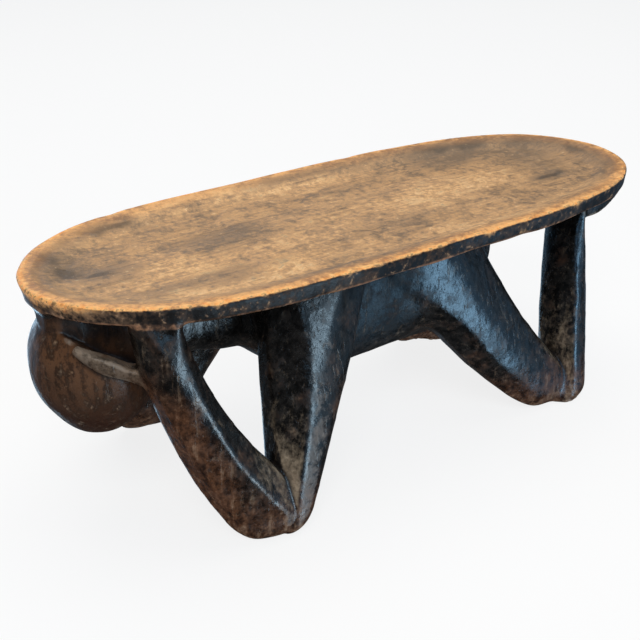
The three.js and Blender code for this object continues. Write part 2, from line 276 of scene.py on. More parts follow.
def trunk_raw(p):
    x, y, z = p[:, 0], p[:, 1], p[:, 2]
    w, lo = half_width(x), bottom_z(x)
    zc, h = (TOP + lo) / 2, (TOP - lo) / 2
    return ((np.abs(y) / w) ** 2.6 + (np.abs(z - zc) / h) ** 2.8) ** (1 / 2.7) - 1.0


def trunk(p):
    f = trunk_raw(p)
    g = np.zeros(len(p))
    for ax in range(3):
        e = np.zeros(3)
        e[ax] = 0.7
        g += ((trunk_raw(p + e) - trunk_raw(p - e)) / 1.4) ** 2
    f = f / np.sqrt(np.maximum(g, 1 / 55.0 ** 2))
    f = smax(f, p[:, 0] - 105.0, 8.0)
    return smax(f, -242.5 - p[:, 0], 4.0)


def head(p):
    q = p - np.array([HEAD["x"], 0.0, HEAD["z"]])
    r = np.stack([np.full(len(p), HEAD["rx"]), np.full(len(p), HEAD["ry"]),
                  np.where(q[:, 2] < 0, HEAD["down"], HEAD["up"])], 1)
    k0 = np.linalg.norm(q / r, axis=1)
    k1 = np.linalg.norm(q / (r * r), axis=1)
    f = k0 * (k0 - 1.0) / np.maximum(k1, 1e-6)
    x0, z0, slope = HEAD_CUT
    cut = (p[:, 2] - z0 + slope * (p[:, 0] - x0)) / math.hypot(1.0, slope)
    return smax(f + 0.5 * waves(p, 17.0, 41), cut + 0.4 * waves(p, 14.0, 42), 1.6)


class Sweep:
    """A flat bar with rounded edges along a smooth curve: a hand or a foot."""

    def __init__(self, points, side, rnd):
        c = np.array(points, float)
        c[:, 1] *= side
        ext = np.vstack([2 * c[0] - c[1], c, 2 * c[-1] - c[-2]])
        rows = []
        for i in range(len(c) - 1):
            p0, p1, p2, p3 = ext[i:i + 4]
            for t in np.linspace(0, 1, 14, endpoint=False):
                rows.append(0.5 * (2 * p1 + (p2 - p0) * t + (2 * p0 - 5 * p1 + 4 * p2 - p3) * t * t
                                   + (-p0 + 3 * p1 - 3 * p2 + p3) * t ** 3))
        rows.append(c[-1])
        r = np.array(rows)
        self.c, self.h, self.w, self.rnd = r[:, :3], r[:, 3], r[:, 4], rnd
        tan = np.gradient(self.c, axis=0)
        tan /= np.linalg.norm(tan, axis=1)[:, None]
        side_v = np.cross([0, 0, 1.0], tan)
        side_v /= np.linalg.norm(side_v, axis=1)[:, None]
        self.t, self.a, self.u = tan, side_v, np.cross(tan, side_v)
        pad = max(self.h.max(), self.w.max())
        self.lo, self.hi = self.c.min(0) - pad, self.c.max(0) + pad

    def __call__(self, p):
        out = np.empty(len(p))
        for s in range(0, len(p), 40000):
            q = p[s:s + 40000]
            d2 = ((q[:, None, :] - self.c[None]) ** 2).sum(2)
            i = d2.argmin(1)
            d = q - self.c[i]
            along = (d * self.t[i]).sum(1)
            x = np.abs((d * self.a[i]).sum(1)) - (self.w[i] - self.rnd)
            y = np.abs((d * self.u[i]).sum(1)) - (self.h[i] - self.rnd)
            f = np.hypot(np.maximum(x, 0), np.maximum(y, 0)) + np.minimum(np.maximum(x, y), 0) - self.rnd
            over = np.where(i == len(self.c) - 1, np.maximum(along, 0), np.where(i == 0, np.maximum(-along, 0), 0))
            f = np.where(over > 0, np.hypot(np.maximum(f, 0), over) + np.minimum(f, 0) * 0, f)
            f = np.where((over > 0), np.where(f <= 0, over, f), f)
            out[s:s + 40000] = f
        return out


# ---------------------------------------------------------------- tray
def inset_solve(x, y):
    """How far inside the outline a point lies, between -30 and 80 mm."""
    lo, hi = np.full(x.shape, -30.0), np.full(x.shape, 80.0)
    for _ in range(24):
        m = (lo + hi) / 2
        inside = (np.abs(x) / (LENGTH / 2 - m)) ** END_POWER + (np.abs(y) / (WIDTH / 2 - m)) ** SIDE_POWER < 1.0
        lo, hi = np.where(inside, m, lo), np.where(inside, hi, m)
    return (lo + hi) / 2


GX, GY = np.arange(-282.0, 282.1, 1.0), np.arange(-124.0, 124.1, 1.0)
INSET = inset_solve(*np.meshgrid(GX, GY, indexing="ij"))


def inset(x, y):
    i = np.clip(x - GX[0], 0, len(GX) - 1.001)
    j = np.clip(y - GY[0], 0, len(GY) - 1.001)
    a, b = i.astype(int), j.astype(int)
    u, v = i - a, j - b
    return ((1 - u) * (1 - v) * INSET[a, b] + u * (1 - v) * INSET[a + 1, b]
            + (1 - u) * v * INSET[a, b + 1] + u * v * INSET[a + 1, b + 1])


UPPER = smooth_table([0, 2.5, 8, 14, 27, 42, 80], [171.6, 172.0, 171.9, 170.0, 165.8, DISH_FLOOR, DISH_FLOOR])
LOWER = ([0, 2, 16, 40, 70, 95], [160.6, 160, 157.2, 153.6, 152, 152])
# small hollows where the rim is chipped or dented: x, y, z, radius, depth
CHIPS = [(-232, 36, 160.5, 9, 3.2), (-238, 48, 161, 6, 1.6), (-60, -91.5, 172, 5, 0.9), (38, -92.5, 171.5, 7, 1.1),
         (126, -88.5, 172, 5, 1.0), (204, -70, 171.5, 6, 1.0), (-170, -80, 171.5, 6, 0.9), (-246, -20, 171, 7, 1.0),
         (-100, -90, 160.5, 6, 1.0), (70, -92, 160.5, 7, 1.1), (176, -81, 160.8, 6, 0.9), (60, 92, 172, 6, 1.0),
         (150, 86, 161, 6, 1.0), (-150, 85, 172, 6, 1.0), (246, 10, 161, 7, 1.1), (-20, 92, 160.6, 7, 1.0)]


def edge_inset(p):
    """Depth inside the tray's edge, which wavers and at the head end is cut back below."""
    x, y, z = p[:, 0], p[:, 1], p[:, 2]
    s = inset(x, y) - 0.45 * waves(p * np.array([1, 1, 0.0]), 55, 7) - 0.25 * waves(p, 21, 8)
    back = 0.12 + 0.22 * smoothstep(-x, 120, 238)
    return s - back * np.clip(171.0 - z, 0.0, 12.0)


def tray(p):
    x, y, z = p[:, 0], p[:, 1], p[:, 2]
    flat = p * np.array([1, 1, 0.0])
    s = edge_inset(p)
    zz = z + 0.32 * waves(flat, 46, 9) * smoothstep(s, 12, 0) + 0.16 * waves(flat, 15, 10) * smoothstep(s, 2, 12)
    up = zz - UPPER(s)
    low = np.interp(s, *LOWER) - z + 0.5 * waves(flat, 30, 12)
    f = smax(up * 0.98, low, 1.5)
    return smax(f, -s, 1.9)


# ---------------------------------------------------------------- the whole block
BARS = {}
for _i, (_name, _limb) in enumerate(LIMBS.items()):
    BARS[_name] = (Bar(_name, _limb, True, 100 + _i), Bar(_name, _limb, False, 200 + _i))
HANDS = {name: [Sweep(part, LIMBS[name]["side"], 2.0) for part in parts] for name, parts in HANDS.items()}
FEET = {"leg_near": Sweep(FOOT_NEAR, -1, 3.0), "leg_far": Sweep(FOOT_FAR, 1, 3.0)}
FAR_AWAY = 60.0


def within(func, lo, hi, p, pad=14.0):
    m = np.all((p > np.asarray(lo) - pad) & (p < np.asarray(hi) + pad), axis=1)
    d = np.full(len(p), FAR_AWAY)
    if m.any():
        d[m] = func(p[m])
    return d


# where the thighs swell out of the flanks: centre, radii, turn about Z in degrees
HIPS = (((4.0, -43.5, 121.0), (50.0, 14.0, 32.0), -12.5), ((14.0, 43.0, 121.0), (47.0, 13.5, 32.0), 12.0))


def swelling(p, centre, radii, turn):
    q = p - np.asarray(centre)
    c, s = math.cos(math.radians(turn)), math.sin(math.radians(turn))
    q = np.column_stack([c * q[:, 0] + s * q[:, 1], -s * q[:, 0] + c * q[:, 1], q[:, 2]]) / np.asarray(radii)
    return (np.sqrt((q * q).sum(1)) - 1.0) * min(radii)


def field(p):
    f = within(tray, (-250, -93, 150), (250, 93, 173), p)
    f = smin(f, within(trunk, (-244, -50, 66), (106, 50, TOP), p), 9.0)
    for hip in HIPS:
        f = smin(f, swelling(p, *hip), 9.0)
    x = p[:, 0]
    edge = inset(x, p[:, 1])
    for name, (outer, inner) in BARS.items():
        pad = 45.0 if name in FEET else 20.0
        a, b = within(outer, outer.lo, outer.hi, p, pad), within(inner, inner.lo, inner.hi, p, pad)
        knee = 7.0 * smoothstep(p[:, 2], 30, 8) if name in FEET else 0.0
        limb = smin(a, b, 1.6 + 2.4 * smoothstep(p[:, 2], 70, 110) + knee)
        room = LIMB_INSET - LIMB_SPREAD * (160.0 - p[:, 2]) - edge
        limb = smax(limb, room / math.hypot(1.0, LIMB_SPREAD), 2.0)
        k = 7.0 + (12.0 if name in FEET else 5.0) * smoothstep(np.abs(x), 120, 70)
        if name in FEET:
            k = k + 14.0 * smoothstep(x, 92, 62) * smoothstep(p[:, 2], 84, 112)
        if name in HANDS:
            for h in HANDS[name]:
                limb = smin(limb, within(h, h.lo, h.hi, p), 4.0)
            k = 1.2 + 5.8 * smoothstep(x, -212, -192)
        if name in FEET:
            h = FEET[name]
            limb = smin(limb, within(h, h.lo, h.hi, p), 8.0)
            k = 2.2 + 4.8 * smoothstep(x, 216, 196)
        f = smin(f, limb, k)
    f = smin(f, within(head, (-250, -44, 67), (-170, 44, 161), p), 1.5)
    for cx, cy, cz, r, depth in CHIPS:
        q = (p - np.array([cx, cy, cz])) / np.array([r * 1.5, r, r])
        m = (q * q).sum(1)
        f = f + 0.5 * depth * np.exp(-m * 1.6)
    return smax(f, -p[:, 2], 1.6)


# ---------------------------------------------------------------- meshing
PITCH = 1.5
TRIANGLES = 194000


def surface_net(f, lo, h):
    inside = f < 0
    nx, ny, nz = f.shape
    count = np.zeros((nx - 1, ny - 1, nz - 1), np.int8)
    for i in (0, 1):
        for j in (0, 1):
            for k in (0, 1):
                count += inside[i:nx - 1 + i, j:ny - 1 + j, k:nz - 1 + k]
    active = (count > 0) & (count < 8)
    cells = np.argwhere(active)
    index = np.full(active.shape, -1)
    index[active] = np.arange(len(cells))
    pos, n = np.zeros((len(cells), 3)), np.zeros(len(cells))
    for ax in range(3):
        o1, o2 = [a for a in range(3) if a != ax]
        for i in (0, 1):
            for j in (0, 1):
                a = cells.copy()
                a[:, o1] += i
                a[:, o2] += j
                b = a.copy()
                b[:, ax] += 1
                fa, fb = f[tuple(a.T)], f[tuple(b.T)]
                m = (fa < 0) != (fb < 0)
                t = fa[m] / (fa[m] - fb[m])
                q = a[m].astype(float)
                q[:, ax] += t
                pos[m] += q
                n[m] += 1
    verts = pos / n[:, None] * h + lo
    quads = []
    for ax in range(3):
        o1, o2 = (ax + 1) % 3, (ax + 2) % 3
        a = [slice(None)] * 3
        b = [slice(None)] * 3
        a[ax], b[ax] = slice(0, -1), slice(1, None)
        cross = inside[tuple(a)] != inside[tuple(b)]
        e = np.argwhere(cross)
        e = e[(e[:, o1] > 0) & (e[:, o2] > 0) & (e[:, o1] < f.shape[o1] - 1) & (e[:, o2] < f.shape[o2] - 1)]
        c = []
        for d1, d2 in ((-1, -1), (0, -1), (0, 0), (-1, 0)):
            q = e.copy()
            q[:, o1] += d1
            q[:, o2] += d2
            c.append(index[tuple(q.T)])
        c = np.stack(c, 1)
        flip = ~inside[tuple(e.T)]
        c[flip] = c[flip][:, ::-1]
        quads.append(c)
    return verts, np.concatenate(quads)


def neighbours_mean(v, quads):
    s, n = np.zeros_like(v), np.zeros(len(v))
    for k in range(4):
        a, b = quads[:, k], quads[:, (k + 1) % 4]
        for ax in range(3):
            s[:, ax] += np.bincount(a, v[b, ax], len(v)) + np.bincount(b, v[a, ax], len(v))
        n += np.bincount(a, minlength=len(v)) + np.bincount(b, minlength=len(v))
    return s / n[:, None]


def gradient(p, f0=None, e=0.35):
    g = np.empty_like(p)
    f0 = field(p) if f0 is None else f0
    for ax in range(3):
        d = np.zeros(3)
        d[ax] = e
        g[:, ax] = (field(p + d) - f0) / e
    return g


def build_mesh():
    """Samples the field finely near its zero level only, and nets that level."""
    lo = np.array([-256.0, -104.0, -6.0])
    blocks = np.ceil((np.array([256.0, 104.0, 178.0]) - lo) / (4 * PITCH)).astype(int)
    centre = [lo[i] + PITCH * (4 * np.arange(blocks[i]) + 1.5) for i in range(3)]
    c = np.stack(np.meshgrid(*centre, indexing="ij"), -1).reshape(-1, 3)
    coarse = field(c).reshape(blocks)
    f = coarse
    near = np.abs(coarse) < 4.2 * PITCH
    for ax in range(3):
        f, near = np.repeat(f, 4, ax), np.repeat(near, 4, ax)
    f = f.copy()
    index = np.flatnonzero(near)
    flat = f.reshape(-1)
    for i in range(0, len(index), 300000):
        part = index[i:i + 300000]
        p = np.stack(np.unravel_index(part, f.shape), 1) * PITCH + lo
        flat[part] = field(p)
    v, quads = surface_net(f, lo, PITCH)
    for it in range(3):
        fv = field(v)
        g = gradient(v, fv)
        ln = np.maximum(np.linalg.norm(g, axis=1), 0.3)[:, None]
        nrm = g / ln
        if it < 2:
            move = (neighbours_mean(v, quads) - v) * 0.55
            move -= nrm * (move * nrm).sum(1)[:, None]
            v = v + move
            fv = field(v)
        v = v - nrm * np.clip(fv[:, None] / ln, -1.0, 1.0)
    return f, lo, v, quads


def box_blur(a, r):
    for ax in range(3):
        c = np.cumsum(np.concatenate([np.zeros_like(a.take([0], ax)), a], ax), ax)
        n = a.shape[ax]
        i0, i1 = np.clip(np.arange(n) - r, 0, n), np.clip(np.arange(n) + r + 1, 0, n)
        a = (c.take(i1, ax) - c.take(i0, ax)) / (i1 - i0).reshape([-1 if k == ax else 1 for k in range(3)])
    return a


def sample(grid, lo, h, p):
    q = np.clip((p - lo) / h, 0, np.array(grid.shape) - 1.001)
    i = q.astype(int)
    t = q - i
    out = 0
    for a in (0, 1):
        for b in (0, 1):
            for c in (0, 1):
                w = (t[:, 0] if a else 1 - t[:, 0]) * (t[:, 1] if b else 1 - t[:, 1]) * (t[:, 2] if c else 1 - t[:, 2])
                out = out + w * grid[i[:, 0] + a, i[:, 1] + b, i[:, 2] + c]
    return out


def scoops(p, spacing, stretch, seed):
    """Shallow hollows of an adze side by side, with raised edges where they meet."""
    q = p * np.array(stretch) / spacing
    base = np.floor(q).astype(np.int64)
    best = np.full(len(p), 9.0)
    for i in (-1, 0, 1):
        for j in (-1, 0, 1):
            for k in (-1, 0, 1):
                cell = base + (i, j, k)
                h = (cell[:, 0] * 73856093) ^ (cell[:, 1] * 19349663) ^ (cell[:, 2] * 83492791) ^ (seed * 2654435761)
                r = []
                for _ in range(4):
                    h = (h * 6364136223846793005 + 1442695040888963407) & 0x7FFFFFFFFFFFFFFF
                    r.append(((h >> 33) & 0xFFFF) / 65536.0)
                d = q - cell - np.stack(r[:3], 1)
                best = np.minimum(best, (d * d).sum(1) + 0.12 * r[3])
    return best


grid, grid_lo, verts, quads = build_mesh()

# the dish, the rim and the soles stay smooth; everything else shows small cuts
normals = gradient(verts, e=0.8)
normals /= np.linalg.norm(normals, axis=1)[:, None]
in_dish = (verts[:, 2] > 162) & (normals[:, 2] > 0.35)
amount = np.where(in_dish, 0.0, 1.0) * smoothstep(verts[:, 2], 1.0, 9.0)
on_band = (verts[:, 2] > 158.5) & (inset(verts[:, 0], verts[:, 1]) < 4)
amount *= np.where(on_band, 0.35, 1.0)
cuts = 0.42 * (scoops(verts, 15.0, (1.0, 1.0, 0.62), 5) - 0.30) + 0.05 * (scoops(verts, 6.0, (1, 1, 0.8), 6) - 0.3)
verts = verts + normals * (np.clip(cuts, -0.6, 0.9) * amount)[:, None]
verts[:, 2] = np.where(verts[:, 2] < 0.35, 0.0, verts[:, 2])

mesh = bpy.data.meshes.new("carved_block")
mesh.from_pydata((verts / 1000.0).tolist(), [], quads.tolist())
mesh.update()
block = bpy.data.objects.new("carved_block", mesh)
bpy.context.scene.collection.objects.link(block)
bpy.context.view_layer.objects.active = block

tri = block.modifiers.new("tri", "TRIANGULATE")
tri.quad_method = "SHORTEST_DIAGONAL"
dec = block.modifiers.new("dec", "DECIMATE")
dec.ratio = min(1.0, TRIANGLES / (2.0 * len(quads)))
deps = bpy.context.evaluated_depsgraph_get()
fine = bpy.data.meshes.new_from_object(block.evaluated_get(deps))
block.modifiers.clear()
block.data = fine
bpy.data.meshes.remove(mesh)
fine.name = "carved_block"
fine.polygons.foreach_set("use_smooth", [True] * len(fine.polygons))

# ---------------------------------------------------------------- wear, darker hollows, painted light and shade, point by point
co = np.empty(len(fine.vertices) * 3)
fine.vertices.foreach_get("co", co)
co = co.reshape(-1, 3) * 1000.0
vn = np.empty(len(fine.vertices) * 3)
fine.vertices.foreach_get("normal", vn)
vn = vn.reshape(-1, 3)
solid_part = (grid < 0).astype(float)
r1, r2 = int(round(4.5 / PITCH)), int(round(16.0 / PITCH))
near_mass = sample(box_blur(box_blur(solid_part, r1), max(1, r1 // 2)), grid_lo, PITCH, co)
wide_mass = sample(box_blur(box_blur(solid_part, r2), r2 // 2), grid_lo, PITCH, co)
del solid_part
edge = smoothstep(0.5 - near_mass, 0.045, 0.20)
hollow = smoothstep(near_mass, 0.52, 0.66)
# painted shade: how much wood lies round a point, used to darken the figure under the tray
painted_shade_under_tray = smoothstep(wide_mass, 0.44, 0.62)
rim = np.clip(edge_inset(co), 0, 60) / 60.0

# brown shows where hands, floor and light wore the black patina away
low = smoothstep(co[:, 2], 58, 4)
warm = 0.85 * low
outer_arm = smoothstep(-co[:, 0] - (150 + 0.42 * co[:, 2]), -16, 6) * smoothstep(co[:, 2], 150, 96)
warm = np.maximum(warm, 0.95 * outer_arm * (co[:, 0] < -100))
ball = (co[:, 0] < -168) & (np.abs(co[:, 1]) < 50) & (co[:, 2] < 158)
at_ball = ball & (np.linalg.norm((co - [HEAD["x"], 0, HEAD["z"]]) / [41, 44.5, 52], axis=1) < 1.06)
warm = np.where(at_ball, 0.55 + 0.40 * smoothstep(co[:, 2], 140, 80), warm)
back_of_arm = smoothstep(co[:, 0], -104, -78) * smoothstep(co[:, 2], 118, 50) * (co[:, 0] < -55)
warm = np.maximum(warm, 0.55 * back_of_arm)
heel = smoothstep(co[:, 0], 172, 190) * smoothstep(co[:, 2], 120, 40)
warm = np.maximum(warm, 0.8 * heel)
under_thigh = smoothstep(-vn[:, 2], 0.25, 0.7) * smoothstep(co[:, 2], 150, 100)
warm = np.maximum(warm, 0.18 * under_thigh)
# rubbed to bare wood: low down on the sides that face into each V; and a painted highlight, pale grey, on the outermost
# strips of the limbs
tan, pale = smoothstep(co[:, 2], 30, 6) * 0.22, np.zeros(len(co))
for name, limb in LIMBS.items():
    vx = (limb["outer_inner"][0] + limb["trunk_inner"][0]) / 2
    u, v = co[:, 0] * limb["dir"], co[:, 1] * limb["side"]
    facing = np.where(u > vx, -vn[:, 0], vn[:, 0]) * limb["dir"]
    here = smoothstep(np.abs(u - vx), 42, 14) * (v > 28)
    much = 0.55 if name in FEET else 1.0
    tan = np.maximum(tan, much * smoothstep(facing, 0.15, 0.7) * smoothstep(co[:, 2], 100, 24) * here)
    # painted highlight: the high facets that face straight out across the tray
    out_side = smoothstep(vn[:, 1] * limb["side"], 0.955, 0.985) * (v > 55)
    pale = np.maximum(pale, out_side * smoothstep(co[:, 2], 140, 112) * (u > 60) * (0.0 if name in FEET else 1.0))
hand_zone = np.min([h(co) for part in HANDS.values() for h in part], axis=0)
hand_mask = smoothstep(hand_zone, 2.0, 0.4) * smoothstep(-co[:, 0], 198, 210) * (np.abs(co[:, 1]) > 20)
for name, values in (("edge", edge), ("hollow", hollow), ("painted_shade_under_tray", painted_shade_under_tray), ("warm", np.clip(warm, 0, 1)),
                     ("hand", hand_mask), ("rim", rim), ("tan", tan), ("pale", pale), ("ball", at_ball * 1.0)):
    at = fine.attributes.new(name, "FLOAT", "POINT")
    at.data.foreach_set("value", values.astype(np.float32))

# ---------------------------------------------------------------- material
wood = bpy.data.materials.new("carved_wood_fine")
wood.use_nodes = True
nt = wood.node_tree
nt.nodes.clear()


def node(kind, **kw):
    n = nt.nodes.new(kind)
    for k, v in kw.items():
        setattr(n, k, v)
    return n


def put(sock, value):
    if isinstance(value, bpy.types.NodeSocket):
        nt.links.new(value, sock)
    else:
        sock.default_value = value


def math_(op, a, b=0.0, c=0.0, clamp=False):
    n = node("ShaderNodeMath", operation=op, use_clamp=clamp)
    put(n.inputs[0], a)
    put(n.inputs[1], b)
    put(n.inputs[2], c)
    return n.outputs[0]


def ramp(v, a, b, lo=0.0, hi=1.0, smooth=True):
    n = node("ShaderNodeMapRange", interpolation_type="SMOOTHSTEP" if smooth else "LINEAR")
    put(n.inputs["Value"], v)
    for k, x in (("From Min", a), ("From Max", b), ("To Min", lo), ("To Max", hi)):
        put(n.inputs[k], x)
    return n.outputs["Result"]


def mix(fac, a, b, blend="MIX"):
    n = node("ShaderNodeMix", data_type="RGBA", blend_type=blend)
    put(n.inputs[0], fac)
    for i, v in ((6, a), (7, b)):
        put(n.inputs[i], v if isinstance(v, bpy.types.NodeSocket) else (*v, 1.0))
    return n.outputs[2]


def mul(a, b):
    return math_("MULTIPLY", a, b)


def total(*terms):
    """Adds up (value, weight) pairs, each value taken from its middle, 0.5."""
    out = 0.0
    for v, w in terms:
        out = math_("MULTIPLY_ADD", v, w, math_("ADD", out, -0.5 * w) if not isinstance(out, float) else out - 0.5 * w)
    return out


def attr(name):
    n = node("ShaderNodeAttribute", attribute_name=name)
    return n.outputs["Fac"]


coord = node("ShaderNodeTexCoord").outputs["Object"]
geo = node("ShaderNodeNewGeometry")


def scaled(v, s, rot=(0, 0, 0)):
    n = node("ShaderNodeMapping")
    put(n.inputs["Vector"], v)
    put(n.inputs["Scale"], s)
    put(n.inputs["Rotation"], rot)
    return n.outputs["Vector"]


def noise(v, scale, detail=3.0, rough=0.55, distort=0.0):
    n = node("ShaderNodeTexNoise")
    put(n.inputs["Vector"], v)
    put(n.inputs["Scale"], scale)
    put(n.inputs["Detail"], detail)
    put(n.inputs["Roughness"], rough)
    put(n.inputs["Distortion"], distort)
    return n.outputs["Fac"]


def cells(v, scale):
    n = node("ShaderNodeTexVoronoi", feature="F1")
    put(n.inputs["Vector"], v)
    put(n.inputs["Scale"], scale)
    return n.outputs["Distance"], n.outputs["Color"]


def warp(v, scale, amount):
    """Shifts the coordinate by a noise, so that patches get ragged borders."""
    w = node("ShaderNodeTexNoise")
    put(w.inputs["Vector"], v)
    put(w.inputs["Scale"], scale)
    put(w.inputs["Detail"], 4)
    m = node("ShaderNodeVectorMath", operation="MULTIPLY_ADD")
    put(m.inputs[0], w.outputs["Color"])
    put(m.inputs[1], (amount, amount, amount))
    put(m.inputs[2], (-amount / 2, -amount / 2, -amount / 2))
    a = node("ShaderNodeVectorMath", operation="ADD")
    put(a.inputs[0], v)
    put(a.inputs[1], m.outputs[0])
    return a.outputs[0]


xyz = node("ShaderNodeSeparateXYZ")
put(xyz.inputs[0], coord)
X, Y, Z = xyz.outputs
nrm = node("ShaderNodeSeparateXYZ")
put(nrm.inputs[0], geo.outputs["Normal"])
NZ = nrm.outputs[2]
RIM = mul(attr("rim"), 60.0)          # millimetres inside the tray's edge

ragged = warp(coord, 22, 0.050)
grain = noise(scaled(coord, (14, 330, 330)), 1.0, 6, 0.62, 0.3)
fibre = noise(scaled(warp(coord, 30, 0.004), (60, 1300, 1300)), 1.0, 3, 0.6)
clouds = noise(scaled(coord, (0.55, 1, 1)), 17, 5, 0.6, 0.3)
mottle = noise(coord, 60, 6, 0.66)
mottle_b = noise(scaled(coord, (1, 1, 1), (0.4, 0.9, 0.2)), 130, 5, 0.72)
speck = noise(coord, 520, 3, 0.75)
speck_b = noise(scaled(coord, (1, 1, 1), (0.7, 0.1, 0.5)), 260, 3, 0.7)


def spot(cx, cy, rx, ry):
    """A soft patch round a place on the tray, millimetres, ragged at its border."""
    n = node("ShaderNodeMapping", vector_type="POINT")
    put(n.inputs["Vector"], ragged)
    put(n.inputs["Location"], (-cx / rx, -cy / ry, 0))
    put(n.inputs["Scale"], (1000 / rx, 1000 / ry, 0))
    ln = node("ShaderNodeVectorMath", operation="LENGTH")
    put(ln.inputs[0], n.outputs["Vector"])
    return ramp(ln.outputs["Value"], 1.35, 0.3)


def most(*v):
    out = v[0]
    for w in v[1:]:
        out = math_("MAXIMUM", out, w)
    return out


# --- the tray's top: golden where it is rubbed, grey-brown where the old skin is left
golden = most(spot(-112, -52, 100, 20), spot(-117, 77, 36, 12), spot(-70, 78, 50, 10), spot(-158, 4, 32, 26), spot(-45, -8, 46, 24),
              spot(70, -4, 75, 22), spot(10, 64, 60, 10), spot(82, -70, 110, 16), spot(150, -66, 60, 14))
greyed = most(mul(spot(-102, 20, 34, 15), 0.7), spot(-150, -36, 60, 14), spot(-214, 28, 18, 30), spot(-195, 6, 26, 20),
              mul(spot(22, -30, 34, 12), 0.5), spot(178, -23, 34, 14), spot(150, 60, 56, 18), spot(208, 22, 48, 50), spot(232, -6, 22, 62),
              spot(236, -4, 16, 34), mul(spot(-25, 82, 40, 8), 0.7))
dark_at = most(spot(-183, 85, 20, 9), spot(-166, 72, 22, 8), spot(-216, 38, 10, 11), spot(-214, 16, 9, 12),
               spot(-197, 8, 12, 7), spot(142, 70, 26, 8), spot(186, 66, 32, 8), spot(222, 48, 22, 9),
               spot(236, 14, 9, 20), spot(246, -12, 6, 14), spot(180, -24, 18, 5))
tone = total((clouds, 1.0), (mottle, 1.0), (mottle_b, 1.1), (speck_b, 1.15), (fibre, 0.50), (grain, 0.60))
tone = math_("ADD", tone, math_("MULTIPLY_ADD", golden, 0.17, mul(greyed, -0.15)))
top_col = mix(ramp(tone, -0.30, 0.28, smooth=False), (0.225, 0.150, 0.092), (0.66, 0.375, 0.170))
top_col = mix(ramp(tone, 0.18, 0.50), top_col, (0.80, 0.52, 0.26))
old = total((mottle, 1.3), (mottle_b, 1.1), (fibre, 0.5), (speck_b, 0.7))
top_col = mix(mul(ramp(math_("MULTIPLY_ADD", dark_at, 0.62, old), 0.06, 0.70), 0.80), top_col, (0.070, 0.052, 0.038))
top_col = mix(mul(ramp(math_("MULTIPLY_ADD", greyed, 0.30, old), 0.08, 0.50), 0.42), top_col, (0.140, 0.112, 0.086))
fine_dots = ramp(speck, 0.58, 0.72, 0.0, 0.60)
top_col = mix(fine_dots, top_col, (0.16, 0.10, 0.058))
light_dots = ramp(speck_b, 0.63, 0.74, 0.0, 0.45)
top_col = mix(light_dots, top_col, (0.80, 0.60, 0.37))
cut_a = noise(scaled(coord, (30, 420, 100), (0, 0, 0.5)), 1.0, 3, 0.5)
cut_b = noise(scaled(coord, (420, 36, 100), (0, 0, 0.35)), 1.0, 3, 0.5)
cut_c = noise(scaled(coord, (16, 380, 100), (0, 0, -0.12)), 1.0, 2, 0.5)
cuts_dark = most(ramp(cut_a, 0.66, 0.71), ramp(cut_c, 0.66, 0.71))
top_col = mix(mul(cuts_dark, 0.30), top_col, (0.14, 0.092, 0.058))
top_col = mix(mul(ramp(cut_b, 0.66, 0.74), 0.10), top_col, (0.78, 0.56, 0.33))
top_col = mix(mul(ramp(RIM, 18, 5), 0.72), top_col, mix(ramp(tone, -0.3, 0.3), (0.42, 0.19, 0.075), (0.86, 0.43, 0.155)))
# the lip: a bright line at the outer edge, rubbed wood with a painted highlight on it, and a browner slope inside it,
# which is painted shade
# rubbed wood and painted highlight: a bright orange line along the crest of the lip
lip_line = mul(ramp(RIM, 6.0, 2.2), ramp(total((mottle, 1.2), (mottle_b, 1.2)), -0.26, 0.10))
top_col = mix(mul(lip_line, 0.95), top_col, mix(ramp(speck_b, 0.3, 0.7), (0.82, 0.31, 0.070), (1.0, 0.60, 0.235)))
# painted shade: darker brown on the slope inside the lip
painted_slope_shade = mul(ramp(RIM, 6.5, 10), ramp(RIM, 24, 12))
top_col = mix(mul(mul(painted_slope_shade, ramp(mottle, 0.30, 0.58)), math_("MULTIPLY_ADD", golden, -0.42, 0.50)), top_col, (0.19, 0.128, 0.080))
pits = mul(ramp(RIM, 3.2, 0.8), ramp(speck_b, 0.50, 0.62))
top_col = mix(mul(pits, 0.75), top_col, (0.055, 0.032, 0.020))

# --- the figure: black patina, brown under it, bare wood where it is rubbed through; painted light and shade on the head and hands, painted shadow under the tray, painted highlights on the outer facets
stroke = noise(scaled(coord, (230, 230, 30), (0.3, 0.5, 0.2)), 1.0, 4, 0.65)
stroke_b = noise(scaled(coord, (60, 300, 200), (0.9, 0.2, 0.6)), 1.0, 4, 0.65)
stroke_c = noise(scaled(coord, (260, 200, 40), (-0.35, 0.55, 0.1)), 1.0, 4, 0.65)
black = mix(ramp(mottle_b, 0.35, 0.65), (0.0022, 0.0021, 0.0021), (0.0145, 0.0130, 0.0120))
brown = mix(ramp(speck_b, 0.35, 0.68), (0.012, 0.0065, 0.004), (0.085, 0.043, 0.023))
red = mix(ramp(total((mottle_b, 0.8), (speck_b, 1.0), (stroke, 0.9)), -0.34, 0.38), (0.010, 0.0035, 0.0018), (0.128, 0.048, 0.018))
worn = mix(speck_b, (0.13, 0.080, 0.046), (0.42, 0.30, 0.19))
thin = total((mottle, 1.3), (clouds, 0.9), (mottle_b, 0.6))
body = mix(ramp(thin, 0.02, 0.40, 0.0, 0.42), black, brown)
warm_f = ramp(math_("ADD", attr("warm"), mul(thin, 0.9)), 0.00, 1.05)
body = mix(warm_f, body, red)
scratch = most(ramp(stroke, 0.60, 0.68), ramp(stroke_b, 0.62, 0.69), ramp(stroke_c, 0.61, 0.69))
body = mix(mul(scratch, math_("MULTIPLY_ADD", attr("warm"), 0.30, 0.08)), body, mix(speck_b, (0.10, 0.055, 0.03), (0.30, 0.19, 0.115)))
